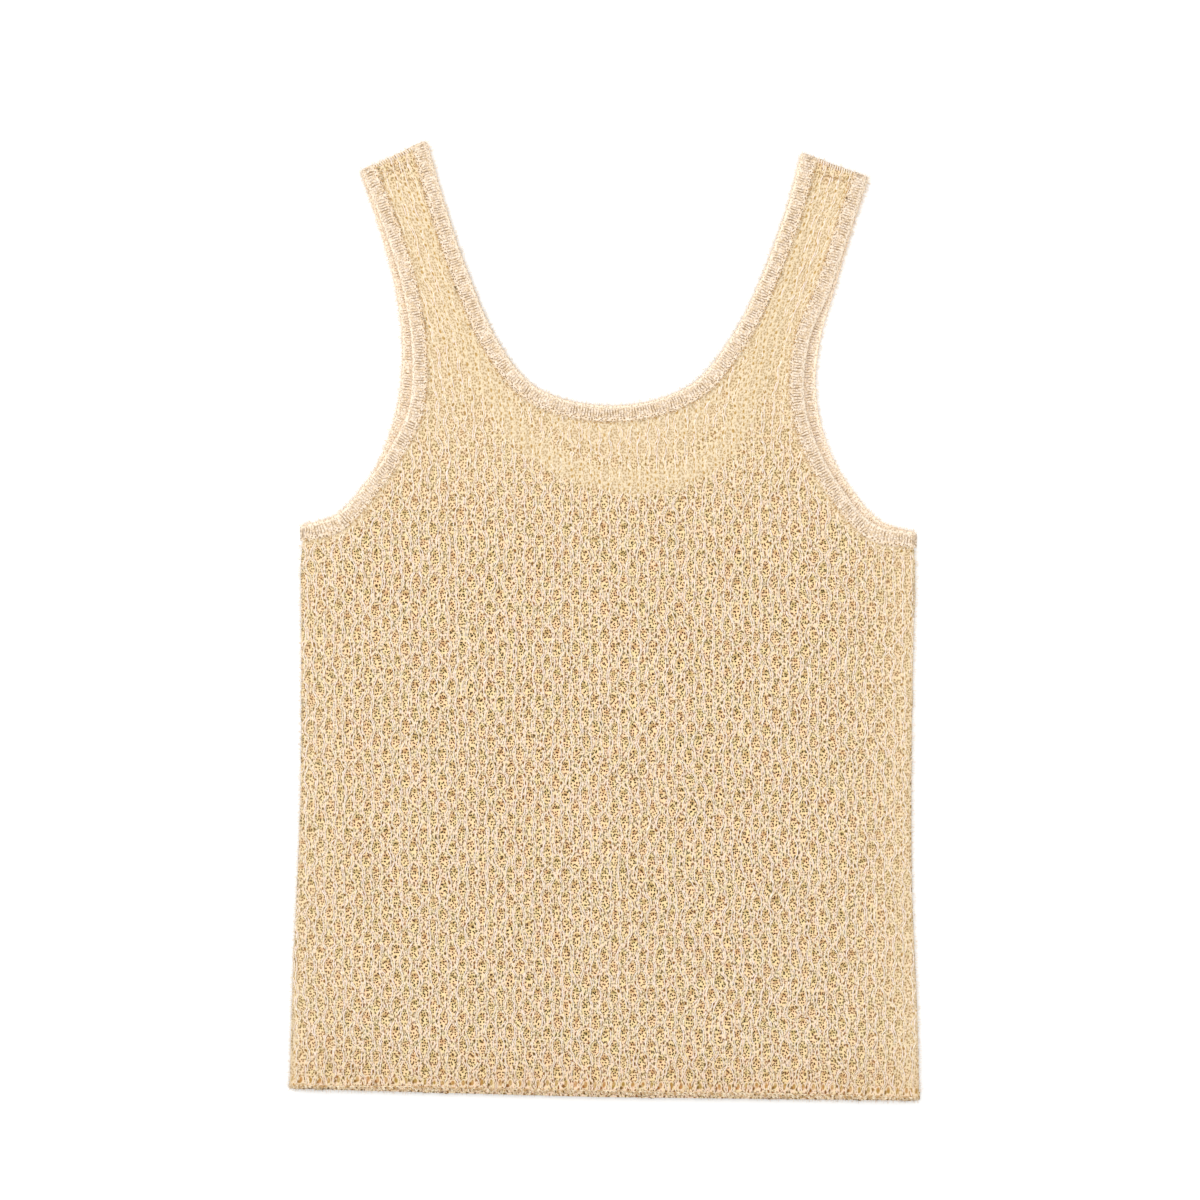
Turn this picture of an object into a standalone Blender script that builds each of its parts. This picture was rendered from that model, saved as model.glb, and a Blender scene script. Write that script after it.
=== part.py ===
"""A sleeveless openwork knit top, laid flat with its shown layer up.

Two knitted panels lie one on the other. They meet at folded edges, along the side seams
and over the shoulders. A narrow rib band is sewn round the neck and round each armhole,
and runs over the shoulder from the upper layer to the lower one. The lower layer has the
deeper neck. Each piece is a closed wall: a plain inner surface, and an outer one raised
from it, with ribs on the bands and a cast-off chain along the hem.

The origin lies under the middle of the piece. X is across, Y runs up to the neck, and Z is
up. Sizes are in millimetres and turn into metres where a mesh is made.
"""

import bmesh
import bpy
import numpy as np
from mathutils import Vector
from mathutils.geometry import interpolate_bezier

MM = 0.001

# Cloth, in millimetres
WALL = 2.0  # openwork panel
LAYER_GAP = 0.6  # between the two layers
SEAM_GAP = 0.3  # between pieces sewn edge to edge
RIB_PITCH = 3.3
RIB_CREST = 2.5  # band thickness on a rib
RIB_GROOVE = 1.8  # and between two ribs
NECK_BAND = 10.0  # band widths
ARM_BAND = 9.5
HEM_CHAIN = 4.2  # height of the cast-off edge
HEM_WALL = 2.5
TURNED_WALL = 1.94  # a band is pulled a little thinner over a fold

# Levels above the surface that the top lies on
MIDDLE = WALL + LAYER_GAP / 2
THICKEST = max(RIB_CREST, HEM_WALL)

# Outline: columns are across and up from the middle of the piece
SIDE_LEFT = ((-194.2, -288.5), (-192.6, -225.0), (-188.3, -130.0), (-187.0, -60.0), (-187.6, 58.2))
SIDE_RIGHT = ((194.2, -295.9), (193.0, -240.0), (189.6, -160.0), (190.0, -40.0), (192.4, 53.9))
SHOULDER_LEFT = ((-150.5, 277.4), (-109.7, 295.9))  # armhole corner, neck corner
SHOULDER_RIGHT = ((162.8, 273.3), (121.4, 288.4))

# Edges of the openings from the shoulder down, and for the neck from left to right
ARM_LEFT_UPPER = (
    (-150.5, 277.4),
    (-136.5, 242.0),
    (-125.2, 206.0),
    (-119.2, 168.0),
    (-120.8, 132.0),
    (-132.0, 107.0),
    (-149.0, 82.5),
    (-166.0, 64.5),
    (-187.6, 58.2),
)
ARM_LEFT_LOWER = (
    (-150.5, 277.4),
    (-137.6, 238.0),
    (-129.4, 207.0),
    (-124.9, 172.0),
    (-127.2, 136.0),
    (-138.0, 100.5),
    (-152.0, 77.5),
    (-167.0, 63.5),
    (-187.6, 58.2),
)
ARM_RIGHT_UPPER = (
    (162.8, 273.3),
    (150.4, 236.0),
    (139.2, 202.5),
    (127.2, 174.0),
    (123.4, 140.0),
    (130.6, 110.0),
    (146.8, 81.0),
    (166.5, 59.5),
    (192.4, 53.9),
)
ARM_RIGHT_LOWER = (
    (162.8, 273.3),
    (151.0, 236.0),
    (141.5, 203.0),
    (132.8, 172.0),
    (130.4, 140.0),
    (138.0, 106.5),
    (153.4, 79.5),
    (170.5, 61.0),
    (192.4, 53.9),
)
NECK_UPPER = (
    (-109.7, 295.9),
    (-99.5, 260.0),
    (-84.5, 215.0),
    (-64.5, 170.0),
    (-39.5, 142.2),
    (6.5, 132.4),
    (52.0, 144.5),
    (78.5, 175.0),
    (96.5, 211.0),
    (113.0, 256.0),
    (121.4, 288.4),
)
NECK_LOWER = (
    (-109.7, 295.9),
    (-96.0, 238.0),
    (-83.5, 190.0),
    (-67.0, 148.0),
    (-36.0, 107.5),
    (18.8, 90.4),
    (66.5, 106.0),
    (88.0, 151.0),
    (100.0, 198.0),
    (112.0, 246.0),
    (121.4, 288.4),
)

# Soft folds of the upper layer: middle across and up, turn in degrees from upright, half
# length, half width, height
FOLDS = (
    (-171.0, -232.0, 2.0, 62.0, 9.0, 1.1),
    (-148.0, 22.0, -38.0, 46.0, 13.0, 0.9),
    (150.0, 14.0, 34.0, 52.0, 12.0, 1.0),
    (-52.0, 78.0, -62.0, 48.0, 14.0, 0.7),
    (66.0, 72.0, 58.0, 40.0, 15.0, 0.8),
    (92.0, -150.0, -6.0, 88.0, 17.0, 0.8),
    (-70.0, -205.0, 5.0, 70.0, 20.0, 0.6),
    (164.0, -236.0, -3.0, 44.0, 11.0, 0.9),
)

# Steps of the walls
SIDE_ROWS = 15  # from the hem to the underarm
ARM_ROWS = 7  # from the underarm to the foot of the straps
STRAP_ROWS = 14
HALF_COLUMNS = 6
FOLD_TURNS = (90.0, 45.0, 0.0)  # round a folded edge, from the rim to the flat
BAND_TURNS = (45.0, 90.0, 135.0)  # over a fold, from the upper layer to the lower
SEAM_RADIUS = (LAYER_GAP - SEAM_GAP) / 2  # inner radius of a panel's folded edge
FOLD_REACH = WALL + LAYER_GAP / 2  # from a folded edge to where the cloth lies flat
STRAP_FOOT = 0.27  # share of the armhole below the foot of the straps
TOP_SAG = 13.0  # how far the top row of the body dips between armhole and neck
WAY_EASE = 14.0  # length over which a seam turns to meet a folded edge square


def curve_through(spots, per_span=24):
    """A smooth curve through the spots, as a dense array of points."""
    spots = [Vector(spot) for spot in spots]
    ahead = [spots[0], *spots, spots[-1]]
    points = [spots[0]]
    for i in range(len(spots) - 1):
        start, end = spots[i], spots[i + 1]
        reach = (end - start).length / 3
        out = (end - ahead[i]).normalized() * reach
        back = (ahead[i + 3] - start).normalized() * reach
        bend = interpolate_bezier(start, start + out, end - back, end, per_span + 1)
        points += [Vector(point[:2]) for point in bend[1:]]
    return np.array([point[:2] for point in points])


def lengths(points):
    """The distance along a line of points to each of them."""
    steps = np.linalg.norm(np.diff(points, axis=0), axis=1)
    return np.concatenate([[0.0], np.cumsum(steps)])


def read_at(points, distances):
    """Points of a line at the given distances along it."""
    along = lengths(points)
    return np.stack([np.interp(distances, along, points[:, k]) for k in (0, 1)], axis=1)


def unit(vector):
    return vector / np.linalg.norm(vector, axis=-1, keepdims=True)


class Opening:
    """The edge of a neck or an armhole in one layer, with the way into the cloth along it.

    The seam between its band and its panel has corners only at the panel's rows."""

    def __init__(self, spots, turn, first_way, last_way, foot, first_rows, last_rows):
        self.edge = curve_through(spots)
        self.along = lengths(self.edge)
        ahead = unit(np.gradient(self.edge, axis=0))
        across = turn * np.stack([-ahead[:, 1], ahead[:, 0]], axis=1)
        from_first = np.clip(1 - self.along / WAY_EASE, 0, 1)[:, None]
        from_last = np.clip(1 - (self.along[-1] - self.along) / WAY_EASE, 0, 1)[:, None]
        ways = across + (first_way - across) * from_first + (last_way - across) * from_last
        self.ways = unit(ways)
        foot = foot * self.along[-1]
        first = np.linspace(FOLD_REACH, foot, first_rows + 1)
        last = np.linspace(foot, self.along[-1] - FOLD_REACH, last_rows + 1)
        self.rows = np.concatenate([first, last[1:]])

    def length(self):
        return self.along[-1]

    def seam(self, distances, inset):
        """Points along the seam, at distances measured along the edge."""
        corners = self.at(self.rows, inset)
        return np.stack([np.interp(distances, self.rows, corners[:, k]) for k in (0, 1)], axis=1)

    def at(self, distances, inset=0.0):
        """Points at distances along the edge, moved into the cloth by the inset."""
        ways = np.stack([np.interp(distances, self.along, self.ways[:, k]) for k in (0, 1)], axis=1)
        return read_at(self.edge, distances) + inset * unit(ways)


def way(start, end):
    return unit(np.array(end, float) - np.array(start, float))


DOWN = np.array((0.0, -1.0))
TO_NECK_LEFT = way(*SHOULDER_LEFT)
TO_NECK_RIGHT = way(*SHOULDER_RIGHT)
OVER_SHOULDER = (
    np.array((-TO_NECK_LEFT[1], TO_NECK_LEFT[0])),
    np.array((TO_NECK_RIGHT[1], -TO_NECK_RIGHT[0])),
)


def openings(arm_left, arm_right, neck):
    """The three openings of one layer."""
    arm_rows = (1 - STRAP_FOOT, STRAP_ROWS, ARM_ROWS)
    neck_rows = (0.5, STRAP_ROWS, STRAP_ROWS)
    return {
        "left": Opening(arm_left, 1, TO_NECK_LEFT, DOWN, *arm_rows),
        "right": Opening(arm_right, -1, TO_NECK_RIGHT, DOWN, *arm_rows),
        "neck": Opening(neck, -1, -TO_NECK_LEFT, -TO_NECK_RIGHT, *neck_rows),
    }


UPPER = openings(ARM_LEFT_UPPER, ARM_RIGHT_UPPER, NECK_UPPER)
LOWER = openings(ARM_LEFT_LOWER, ARM_RIGHT_LOWER, NECK_LOWER)


def lift(points):
    """How far the soft folds raise the upper layer at points in the plane."""
    raised = np.zeros(len(points))
    for across, up, turn, half_length, half_width, height in FOLDS:
        turn = np.radians(turn)
        offset = points - (across, up)
        along = offset[:, 0] * np.sin(turn) + offset[:, 1] * np.cos(turn)
        aside = offset[:, 0] * np.cos(turn) - offset[:, 1] * np.sin(turn)
        raised += height * np.exp(-((along / half_length) ** 2) - (aside / half_width) ** 2)
    return raised


def placed(points, level, lifted):
    """Points of the plane at a level, on the soft folds if lifted."""
    points = np.atleast_2d(points)
    heights = np.full(len(points), level) + (lift(points) if lifted else 0.0)
    return np.column_stack([points, heights])


# ---- panels


def row_from_edge(edge, middle, sag, folded, side):
    """Half a row of a panel, from its outer edge to its middle. side is 1 up, -1 down."""
    span = np.linalg.norm(middle - edge)
    inward = (middle - edge) / span
    turns = np.radians(FOLD_TURNS)
    reaches = FOLD_REACH - SEAM_RADIUS * np.sin(turns)
    if not folded:
        reaches = FOLD_REACH * (1 - np.array(FOLD_TURNS) / FOLD_TURNS[0])
    inner = np.linspace(FOLD_REACH, span, HALF_COLUMNS + 1)[1:]
    distances = np.concatenate([reaches, inner])
    share = distances / span
    points = edge + distances[:, None] * inward
    points[:, 1] -= 4 * sag * share * (1 - share)
    flat = placed(points, MIDDLE + side * LAYER_GAP / 2, side > 0)
    if folded:
        flat[: len(turns), 2] = MIDDLE + side * (SEAM_GAP / 2 + SEAM_RADIUS * np.cos(turns))
    return flat


def fold_over(last_row, outward, side):
    """Rows that round a shoulder fold, after the last flat row."""
    rows = []
    for turn in np.radians(FOLD_TURNS[-2::-1]):
        row = last_row.copy()
        row[:, :2] += SEAM_RADIUS * np.sin(turn) * outward
        row[:, 2] = MIDDLE + side * (SEAM_GAP / 2 + SEAM_RADIUS * np.cos(turn))
        rows.append(row)
    return rows


def panel_rows(layer, side):
    """The body's rows and each strap's, as arrays of points on the panel's inner surface."""
    inset = ARM_BAND + SEAM_GAP
    arms = (layer["left"], layer["right"])
    sides = [curve_through(spots) for spots in (SIDE_LEFT, SIDE_RIGHT)]
    neck = layer["neck"]
    top = neck.at(neck.rows, NECK_BAND + SEAM_GAP)[STRAP_ROWS]
    hem = (sides[0][0] + sides[1][0]) / 2 - (0.0, 1.6)

    chain = [0.0, HEM_CHAIN, HEM_CHAIN + 1.0]
    count = SIDE_ROWS + ARM_ROWS + 1
    middles = np.concatenate([chain, np.linspace(chain[-1], top[1] - hem[1], count + 1)[1:]])
    edges = []
    for line, arm in zip(sides, arms):
        seam_top = lengths(line)[-1] - inset
        up = np.concatenate([chain, np.linspace(chain[-1], seam_top, SIDE_ROWS + 1)[1:]])
        bend = arm.at(arm.rows, inset)[: STRAP_ROWS - 1 : -1]
        edges.append(np.concatenate([read_at(line, up), bend]))

    body = []
    for j, up in enumerate(middles):
        climb = up / middles[-1]
        middle = hem + (top - hem) * (climb, 0) + (0.0, up)
        folded = j < len(chain) + SIDE_ROWS
        halves = [
            row_from_edge(edge[j], middle, TOP_SAG * climb**2, folded, side) for edge in edges
        ]
        body.append(np.concatenate([halves[0], halves[1][-2::-1]]))

    straps = []
    neck_seam = neck.at(neck.rows, NECK_BAND + SEAM_GAP)
    insides = (neck_seam[STRAP_ROWS::-1], neck_seam[STRAP_ROWS:])
    for k, (arm, inside, up_and_out) in enumerate(zip(arms, insides, OVER_SHOULDER)):
        beside = arm.at(arm.rows, inset)[STRAP_ROWS::-1]
        rows = []
        for j, (outer, inner) in enumerate(zip(beside, inside)):
            sag = TOP_SAG * (1 - j / STRAP_ROWS) ** 2
            rows.append(row_from_edge(outer, inner, sag, False, side))
        rows += fold_over(rows[-1], up_and_out, side)
        straps.append([row[::-1] for row in rows] if k else rows)
    return body, straps


# ---- meshes


def add_grid(bm, rows):
    """Adds a grid whose corners are the rows' points, and returns its vertices by row."""
    rows = np.array(rows)
    columns = rows.shape[1] - 1
    made = bmesh.ops.create_grid(bm, x_segments=columns, y_segments=len(rows) - 1, size=0.5)
    for vertex, point in zip(made["verts"], rows.reshape(-1, 3)):
        vertex.co = Vector(point) * MM
    return made["verts"]


def finish(colour, roughness):
    """Matt cotton yarn of one colour."""
    material = bpy.data.materials.new("cotton_knit")
    material.use_nodes = True
    shader = material.node_tree.nodes["Principled BSDF"]
    shader.inputs["Base Color"].default_value = (*colour, 1.0)
    shader.inputs["Roughness"].default_value = roughness
    shader.inputs["Metallic"].default_value = 0.0
    return material


def wall(name, grids, thicknesses, flip, colour):
    """A closed wall: grids of points on its inner surface, given their own thicknesses outwards."""
    bm = bmesh.new()
    depth = bm.verts.layers.deform.verify()
    for rows, thickness in zip(grids, thicknesses):
        for vertex, value in zip(add_grid(bm, rows), np.array(thickness).reshape(-1)):
            vertex[depth][0] = value / THICKEST
    bmesh.ops.remove_doubles(bm, verts=bm.verts, dist=0.01 * MM)
    if flip:
        bmesh.ops.reverse_faces(bm, faces=bm.faces)
    mesh = bpy.data.meshes.new(name)
    bm.to_mesh(mesh)
    bm.free()
    piece = bpy.data.objects.new(name, mesh)
    garment.objects.link(piece)
    piece.vertex_groups.new(name="thickness")
    solidify = piece.modifiers.new("wall", "SOLIDIFY")
    solidify.thickness = THICKEST * MM
    solidify.offset = 1.0
    solidify.use_even_offset = True
    solidify.vertex_group = "thickness"
    piece.data.materials.append(finish(colour, 0.9))
    return piece


def panel(name, layer, side, colour):
    """One layer of the body, with its straps."""
    body, straps = panel_rows(layer, side)
    grids = [body, *straps]
    thicknesses = [np.full(np.array(rows).shape[:2], WALL) for rows in grids]
    if side > 0:
        thicknesses[0][:2] = HEM_WALL
    return wall(name, grids, thicknesses, side < 0, colour)


def band(name, upper, lower, width, flip, colour):
    """A rib strip round an opening: along the upper layer, over a fold, and back below."""

    def run(opening, distances, level, lifted):
        root = placed(opening.seam(distances, width), level, lifted)
        edge = placed(opening.at(distances), level, lifted)
        return list(np.stack([root, edge], axis=1))

    def over(row, outward, turns):
        rows = []
        for turn in np.radians(turns):
            bent = row.copy()
            bent[:, :2] += LAYER_GAP / 2 * np.sin(turn) * outward
            bent[:, 2] = MIDDLE + LAYER_GAP / 2 * np.cos(turn)
            rows.append(bent)
        return rows

    ribs = round((upper.length() - 2 * FOLD_REACH) / RIB_PITCH)
    shown = np.linspace(FOLD_REACH, upper.length() - FOLD_REACH, 2 * ribs + 1)
    top = run(upper, shown, MIDDLE + LAYER_GAP / 2, True)
    bottom = run(lower, lower.rows[::-1], MIDDLE - LAYER_GAP / 2, False)
    for row in (top[0], top[-1]):
        row[:, 2] = MIDDLE + LAYER_GAP / 2
    last_out = way(upper.edge[-2], upper.edge[-1])
    first_out = way(upper.edge[1], upper.edge[0])
    last_turn = over(top[-1], last_out, BAND_TURNS)
    first_turn = over(top[0], first_out, BAND_TURNS[::-1])
    rows = [*top, *last_turn, *bottom, *first_turn, top[0]]
    ribbed = [RIB_CREST if k % 2 else RIB_GROOVE for k in range(1, len(top) - 1)]
    turned = [TURNED_WALL] * (len(BAND_TURNS) + 1)
    plain = [WALL] * (len(bottom) - 2)
    thickness = [WALL, *ribbed, WALL, *turned, *plain, *turned, WALL]
    return wall(name, [rows], [np.repeat(thickness, 2)], flip, colour)


for leftover in list(bpy.data.objects):
    bpy.data.objects.remove(leftover)
garment = bpy.data.collections.new("sweater_vest")
bpy.context.scene.collection.children.link(garment)

PANEL_COLOUR = (0.73, 0.58, 0.37)
BAND_COLOUR = (0.81, 0.68, 0.47)
panel("front_panel", UPPER, 1, PANEL_COLOUR)
panel("back_panel", LOWER, -1, PANEL_COLOUR)
band("neck_band", UPPER["neck"], LOWER["neck"], NECK_BAND, True, BAND_COLOUR)
band("armhole_band_left", UPPER["left"], LOWER["left"], ARM_BAND, False, BAND_COLOUR)
band("armhole_band_right", UPPER["right"], LOWER["right"], ARM_BAND, True, BAND_COLOUR)
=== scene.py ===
"""The looks of a sleeveless openwork knit top, laid flat on a pale floor.

It is knitted from slubby cotton in a honeycomb stitch: raised ridges wander up the cloth and
close round drop-shaped cells of fine net. Rib bands finish the neck and armholes. Sizes are
in millimetres and turn into metres where a mesh is made.
"""

import bmesh
import bpy
import numpy as np
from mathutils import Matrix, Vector
from mathutils.bvhtree import BVHTree
from mathutils.geometry import interpolate_bezier


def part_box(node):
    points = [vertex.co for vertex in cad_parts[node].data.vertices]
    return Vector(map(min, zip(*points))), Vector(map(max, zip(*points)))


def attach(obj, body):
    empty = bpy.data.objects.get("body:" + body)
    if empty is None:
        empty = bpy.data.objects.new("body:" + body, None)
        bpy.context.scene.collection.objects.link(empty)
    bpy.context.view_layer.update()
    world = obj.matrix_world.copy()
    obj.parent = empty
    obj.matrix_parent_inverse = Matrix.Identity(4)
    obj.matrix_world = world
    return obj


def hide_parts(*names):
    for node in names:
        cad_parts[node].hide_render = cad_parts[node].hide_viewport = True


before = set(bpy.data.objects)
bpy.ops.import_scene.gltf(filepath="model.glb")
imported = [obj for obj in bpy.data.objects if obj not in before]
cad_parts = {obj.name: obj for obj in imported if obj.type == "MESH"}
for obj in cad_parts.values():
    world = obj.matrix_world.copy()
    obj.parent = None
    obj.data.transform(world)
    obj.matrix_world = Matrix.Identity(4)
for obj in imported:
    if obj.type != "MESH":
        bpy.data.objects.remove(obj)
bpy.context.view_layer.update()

MM = 0.001

# ---- camera
# It looks straight down, as over a table for a product picture. The aim is the middle of the
# photograph, a little left of the top's middle and above it.

VIEW_WIDTH = 741.6
AIM = (-2.8, 12.5)
LENS = 85.0
SENSOR = 36.0

camera_data = bpy.data.cameras.new("camera")
camera_data.lens = LENS
camera_data.sensor_width = SENSOR
camera = bpy.data.objects.new("camera", camera_data)
camera.location = (AIM[0] * MM, AIM[1] * MM, VIEW_WIDTH * MM * LENS / SENSOR)
bpy.context.collection.objects.link(camera)
bpy.context.scene.camera = camera
bpy.context.scene.view_settings.view_transform = "Standard"

# ---- floor and light
# A white sweep under a soft overhead box, with a lower soft light from the top left that
# draws out the relief of the stitches.

FLOOR_HALF = 4.0  # in metres, as are the lamps' places and sizes
SKY_STRENGTH = 0.45
LAMPS = (
    ("overhead_box", (0.1, 0.2, 2.4), 2.6, 52.0),  # place, size and watts
    ("key_box", (-1.7, 1.5, 1.4), 1.3, 22.0),
)


def linear(hex_colour):
    """An sRGB colour such as "f0e0c8" as a linear one with alpha."""
    parts = [int(hex_colour[i : i + 2], 16) / 255 for i in (0, 2, 4)]
    return [x / 12.92 if x <= 0.04045 else ((x + 0.055) / 1.055) ** 2.4 for x in parts] + [1.0]


def add_node(tree, kind, settings=(), **inputs):
    """Adds a shader node, sets its properties, and sets or links its inputs by name or number."""
    node = tree.nodes.new("ShaderNode" + kind)
    for name, value in dict(settings).items():
        setattr(node, name, value)
    for name, value in inputs.items():
        socket = node.inputs[int(name[1:]) if name[0] == "_" else name.replace("_", " ")]
        if isinstance(value, bpy.types.NodeSocket):
            tree.links.new(value, socket)
        else:
            socket.default_value = value
    return node


def new_material(name):
    """A material with nothing but its Principled shader and output, and its node tree."""
    material = bpy.data.materials.new(name)
    material.use_nodes = True
    return material, material.node_tree, material.node_tree.nodes["Principled BSDF"]


def mesh_of(bm, name):
    """The finished mesh of a bmesh."""
    mesh = bpy.data.meshes.new(name)
    bm.to_mesh(mesh)
    bm.free()
    return mesh


def placed(name, mesh, material):
    """A mesh as an object of the scene, with its finish."""
    mesh.materials.append(material)
    piece = bpy.data.objects.new(name, mesh)
    bpy.context.collection.objects.link(piece)
    return piece


# Matt white paint: no gloss, so the light leaves no bright patch on it.
paint, tree, shader = new_material("matt_white_paint")
shader.inputs["Base Color"].default_value = linear("fbfbfa")
shader.inputs["Roughness"].default_value = 0.9
bm = bmesh.new()
bmesh.ops.create_grid(bm, x_segments=2, y_segments=2, size=FLOOR_HALF)
floor = placed("floor", mesh_of(bm, "floor"), paint)

for name, place, size, watts in LAMPS:
    lamp_data = bpy.data.lights.new(name, "AREA")
    lamp_data.shape = "SQUARE"
    lamp_data.size = size
    lamp_data.energy = watts
    lamp = bpy.data.objects.new(name, lamp_data)
    lamp.location = place
    lamp.rotation_euler = (-Vector(place)).to_track_quat("-Z", "Y").to_euler()
    bpy.context.collection.objects.link(lamp)

world = bpy.data.worlds.new("studio")
world.use_nodes = True
world.node_tree.nodes["Background"].inputs["Color"].default_value = linear("ffffff")
world.node_tree.nodes["Background"].inputs["Strength"].default_value = SKY_STRENGTH
bpy.context.scene.world = world

# ---- front panel
# The shown layer of the body, knitted flat and cut to shape. Here is its net, which sinks
# inside each cell of the honeycomb; the ridges round the cells are a piece of their own.

CELL_WIDE = 11.7  # from one column of cells to the next
CELL_HIGH = 16.4  # from one cell to the next one above it
COLUMNS = (-18, 18)  # columns of cells left and right of the middle
HEM_HEIGHTS = (-288.5, -295.9)  # left and right corner
HEM_WIDTH = 388.4
HEM_EASE = 140.0  # the hem's tilt fades out over this height
STRAP_SLANTS = (-0.31, 0.35)  # how far the columns lean out on the straps
LEAN_START = 150.0
LEAN_EASE = 18.0
TAUT_HEIGHT = 112.0  # above this the cloth is drawn tight, and its holes close
TAUT_EASE = 26.0
SIDE_EASE = 22.0  # its holes close towards the sides too, where it turns under
SIDE_STRIP = 5.5  # and are gone in a strip along them
NET_WALL = 0.8
NET_OVERHANG = 0.22  # how far its edge reaches past the panel's, to meet the bands
NET_DEPTHS = (0.75, 1.35)  # under the panel's outer surface: beside a ridge, and mid-cell
BARE_EASE = 30.0  # their painted shade fades past the other panel's outline too, where no cloth lies behind them in shade, over this distance
SEAM_EASE = 4.0  # and they close beside a band, where the stitches were picked up
SEAM_RAISE = 0.8  # how far the net rises there to meet it
FOLD_HEIGHTS = (264.0, 278.0)  # near their folds the straps are stretched open again
FOLD_CLOSED = 0.45  # and their holes are closed this much less
KNIT_HEIGHT = 600.0  # the lattice is laid out so far up, and then trimmed to the panel
EDGE_LOOP = 0.7  # a last row of mesh along the trimmed edge
ROUNDED = 2.0  # the net sinks less where the panel's rounded edge is lower than this
CELL_BULGE = 0.085  # how far a ridge swings, in columns
STRANDS_APART = 0.13  # the two strands of a ridge, in columns
HEM_HOLES = (0.37, 0.15)  # height and half height of a row of large holes above the hem, in cells
DROP = 0.62  # 0 is an even oval, 1 a drop with a pointed top
SQUARE = 1.5  # how long the ridges stay swung out, from a wave at 0 upwards
SWUNG = CELL_BULGE / np.tanh(SQUARE)
EVEN_HALF = 0.25 - STRANDS_APART / 2  # half a cell's width between its strands, unswung
WIDEST_HALF = EVEN_HALF + CELL_BULGE

rng = np.random.default_rng(7)


def waves(count, shortest, longest, height):
    """Random long waves that together act as smooth noise: rows of across, up, phase, height."""
    turns = rng.uniform(0, 2 * np.pi, count)
    rates = 2 * np.pi / rng.uniform(shortest, longest, count)
    phases = rng.uniform(0, 2 * np.pi, count)
    heights = np.full(count, height * (2 / count) ** 0.5)
    return np.stack([rates * np.cos(turns), rates * np.sin(turns), phases, heights])


def drift(x, y, made):
    """The waves' sum at points."""
    x, y = (np.asarray(value, float)[..., None] for value in (x, y))
    return (made[3] * np.sin(made[0] * x + made[1] * y + made[2])).sum(-1)


WANDER_ACROSS = waves(18, 16.0, 90.0, 0.5)
WANDER_UP = waves(18, 16.0, 90.0, 0.7)
UNEVEN = waves(18, 14.0, 60.0, 0.18)


def laid(u, v):
    """Where a point of the knitting lies: columns u from the middle, rows v above the hem."""
    x = CELL_WIDE * u
    tilt = (HEM_HEIGHTS[1] - HEM_HEIGHTS[0]) / HEM_WIDTH * x
    y = sum(HEM_HEIGHTS) / 2 + CELL_HIGH * v
    y = y + tilt * np.exp(-CELL_HIGH * v / HEM_EASE)
    lean = LEAN_EASE * np.logaddexp(0, (y - LEAN_START) / LEAN_EASE)
    slant = np.where(u < 0, *STRAP_SLANTS) * lean
    return x + slant + drift(x, y, WANDER_ACROSS), y + drift(x, y, WANDER_UP)


def drawn(y):
    """0 on the body and 1 on the straps, where the cloth is drawn long and tight."""
    return 1 / (1 + np.exp(-(y - TAUT_HEIGHT) / TAUT_EASE))


def uneven(u, v):
    """A factor on the ridges' swing, which differs from cell to cell."""
    flatter = 1 - 0.5 * drawn(CELL_HIGH * v + min(HEM_HEIGHTS))
    return (1 + drift(CELL_WIDE * u, CELL_HIGH * v, UNEVEN)) * flatter


def swing(u, v):
    """How far the ridges swing out at a height: 1 where even columns' cells are widest, -1 odd."""
    turn = 2 * np.pi * v
    turn = turn + DROP * np.sin(turn) ** 2
    return np.tanh(SQUARE * np.sin(turn)) / np.tanh(SQUARE) * uneven(u, v)


def openness(u, v):
    """0 on a ridge and 1 in the middle of the widest cell."""
    half = 0.25 + CELL_BULGE * swing(u, v)
    aside = np.abs(u - np.round(u))
    found = 0
    for off, reach in ((aside, half), (0.5 - aside, 0.5 - half)):
        reach = np.maximum(reach - STRANDS_APART / 2, 0.01)
        found = np.maximum(found, np.clip(1 - (off / reach) ** 2, 0, 1) * reach / WIDEST_HALF)
    return found


def tightness(x, y):
    """0 on the body and 1 where the cloth is drawn tight: the straps, and beside the sides."""
    inwards = (HEM_WIDTH / 2 - np.abs(x)).clip(0)
    side = np.where(x > 0, 0.9, 0.45) * np.exp(-inwards / SIDE_EASE)
    strip = np.exp(-((inwards / SIDE_STRIP) ** 4))
    return np.clip(np.maximum(drawn(y), np.maximum(side, strip)), 0, 1)


class Cover:
    """The outer surface of a CAD panel, read by looking straight at it from outside."""

    def __init__(self, node, side):
        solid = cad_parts[node].data
        faces = [face.vertices for face in solid.polygons]
        self.tree = BVHTree.FromPolygons([vertex.co for vertex in solid.vertices], faces)
        self.side = side
        low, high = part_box(node)
        self.rim = low.z if side > 0 else high.z

    def level(self, x, y):
        """Height of the surface at a point in metres, or None beside the panel."""
        start = Vector((x, y, self.side * 0.05))
        return (self.tree.ray_cast(start, Vector((0, 0, -self.side)))[0] or [None] * 3)[2]

    def beside(self, x, y, inset=0.05):
        """The nearest point of the outline, a hair inside it."""
        spot = Vector((x, y, self.rim))
        near = self.tree.find_nearest(spot)[0]
        inward = (near - spot).to_2d().normalized() * inset * MM
        return near.x + inward.x, near.y + inward.y


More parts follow.
